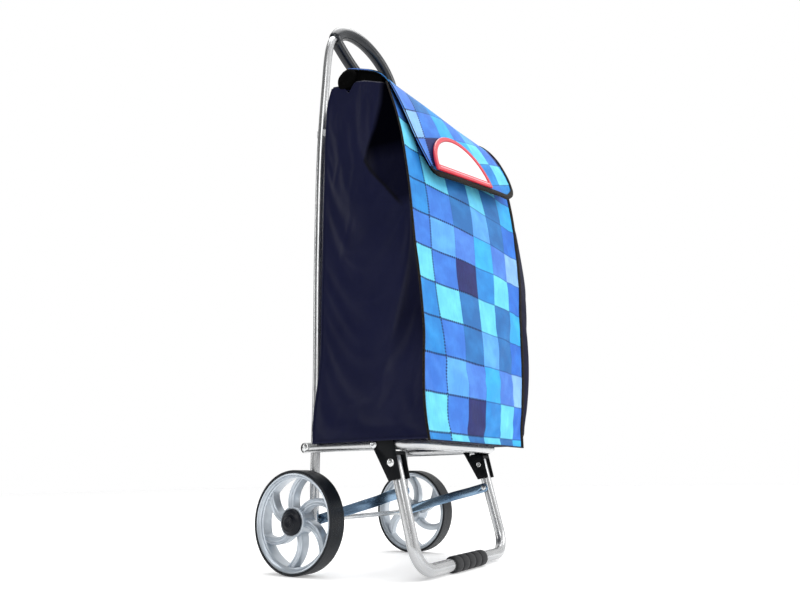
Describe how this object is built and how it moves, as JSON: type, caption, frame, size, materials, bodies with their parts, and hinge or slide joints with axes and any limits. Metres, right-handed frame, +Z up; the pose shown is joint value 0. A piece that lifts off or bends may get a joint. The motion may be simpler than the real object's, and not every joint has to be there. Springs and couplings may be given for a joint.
{
  "type": "shopping trolley",
  "caption": "Two-wheeled pull-along shopping trolley: a folding tube frame with a loop handle and a prop stand carries an upright soft bag closed by a hinged front flap.",
  "frame": {"origin": "centre of the footprint, on the floor", "axes": "+Z up, -Y towards the bag's printed front, +X to the right seen from the handle side's rear"},
  "size_m": [0.3904, 0.318, 1.0375],
  "materials": {
    "silver_tube": "satin silver paint on tube",
    "grip_plastic": "satin dark grey moulding",
    "black_plastic": "satin black moulding",
    "black_rubber": "matt black",
    "tyre_rubber": "matt black",
    "rim_plastic": "silver-grey moulding",
    "white_nylon": "natural",
    "zinc": "bright zinc plate",
    "zinc_strip": "blue-tinted zinc plate",
    "navy_nylon": "glossy dark navy coated nylon",
    "printed_cloth": "patchwork print of blue squares",
    "black_tape": "black binding tape",
    "red_plastic": "red rim",
    "white_plastic": "white, left blank"
  },
  "bodies": {
    "frame": {"upright_left": "silver_tube", "upright_right": "silver_tube", "upright_plug_left": "black_plastic", "upright_plug_right": "black_plastic", "axle_spacer_left": "black_plastic", "axle_spacer_right": "black_plastic", "axle_collar_left": "zinc", "axle_collar_right": "zinc", "push_nut_left": "zinc", "push_nut_right": "zinc", "base_bolt_left": "zinc", "base_bolt_right": "zinc", "base_nut_left": "zinc", "base_nut_right": "zinc", "bag_side_left": "navy_nylon", "bag_side_right": "navy_nylon", "bag_piping_left": "black_tape", "bag_piping_right": "black_tape", "hanger_loop_left": "white_nylon", "hanger_loop_right": "white_nylon", "handle_grip": "grip_plastic", "axle": "zinc", "bag_front": "printed_cloth", "bag_back": "navy_nylon", "bag_bottom": "navy_nylon", "bag_top": "navy_nylon", "flap_hinge_fold": "black_tape"},
    "wheel_left": {"rim_left": "rim_plastic", "tyre_left": "tyre_rubber", "hub_cap_left": "black_plastic", "wheel_bush_left": "white_nylon"},
    "wheel_right": {"rim_right": "rim_plastic", "tyre_right": "tyre_rubber", "hub_cap_right": "black_plastic", "wheel_bush_right": "white_nylon"},
    "base": {"base_tube": "silver_tube", "base_board": "black_plastic", "base_plug_left": "black_plastic", "base_plug_right": "black_plastic", "stand_bolt_left": "zinc", "stand_bolt_right": "zinc", "stand_nut_left": "zinc", "stand_nut_right": "zinc"},
    "stand": {"stand_tube": "silver_tube", "stand_grip": "black_rubber", "bracket_left": "black_plastic", "bracket_right": "black_plastic", "leg_bolt_left": "zinc", "leg_bolt_right": "zinc", "leg_nut_left": "zinc", "leg_nut_right": "zinc"},
    "strut_left": {"strut_left": "zinc_strip", "strut_rivet_left": "zinc"},
    "strut_right": {"strut_right": "zinc_strip", "strut_rivet_right": "zinc"},
    "flap": {"flap": "printed_cloth", "flap_binding": "black_tape", "badge_rim": "red_plastic", "badge_face": "white_plastic"}
  },
  "joints": [
    {"name": "wheel_left_spin", "type": "hinge", "parent": "frame", "child": "wheel_left", "pos_m": [-0.1705, 0.084, 0.075], "axis": [1, 0, 0], "continuous": true},
    {"name": "wheel_right_spin", "type": "hinge", "parent": "frame", "child": "wheel_right", "pos_m": [0.1705, 0.084, 0.075], "axis": [1, 0, 0], "continuous": true},
    {"name": "base_fold", "type": "hinge", "parent": "frame", "child": "base", "pos_m": [0, 0.084, 0.184], "axis": [-1, 0, 0], "range_deg": [0, 80], "deforming": ["bag_back", "bag_bottom"]},
    {"name": "stand_fold", "type": "hinge", "parent": "base", "child": "stand", "pos_m": [0, -0.046, 0.184], "axis": [1, 0, 0], "range_deg": [0, 90]},
    {"name": "strut_left_fold", "type": "hinge", "parent": "frame", "child": "strut_left", "pos_m": [-0.1246, 0.084, 0.075], "axis": [-1, 0, 0], "range_deg": [0, 60]},
    {"name": "strut_right_fold", "type": "hinge", "parent": "frame", "child": "strut_right", "pos_m": [0.1246, 0.084, 0.075], "axis": [-1, 0, 0], "range_deg": [0, 60]},
    {"name": "flap_open", "type": "hinge", "parent": "frame", "child": "flap", "pos_m": [0, 0.005, 0.815], "axis": [-1, 0, 0], "range_deg": [0, 110], "deforming": ["flap_hinge_fold"]}
  ],
  "couplings": [
    {"joint": "stand_fold", "follows": "base_fold", "ratio": 1.1225},
    {"joint": "strut_left_fold", "follows": "base_fold", "ratio": 0.743},
    {"joint": "strut_right_fold", "follows": "base_fold", "ratio": 0.743}
  ]
}
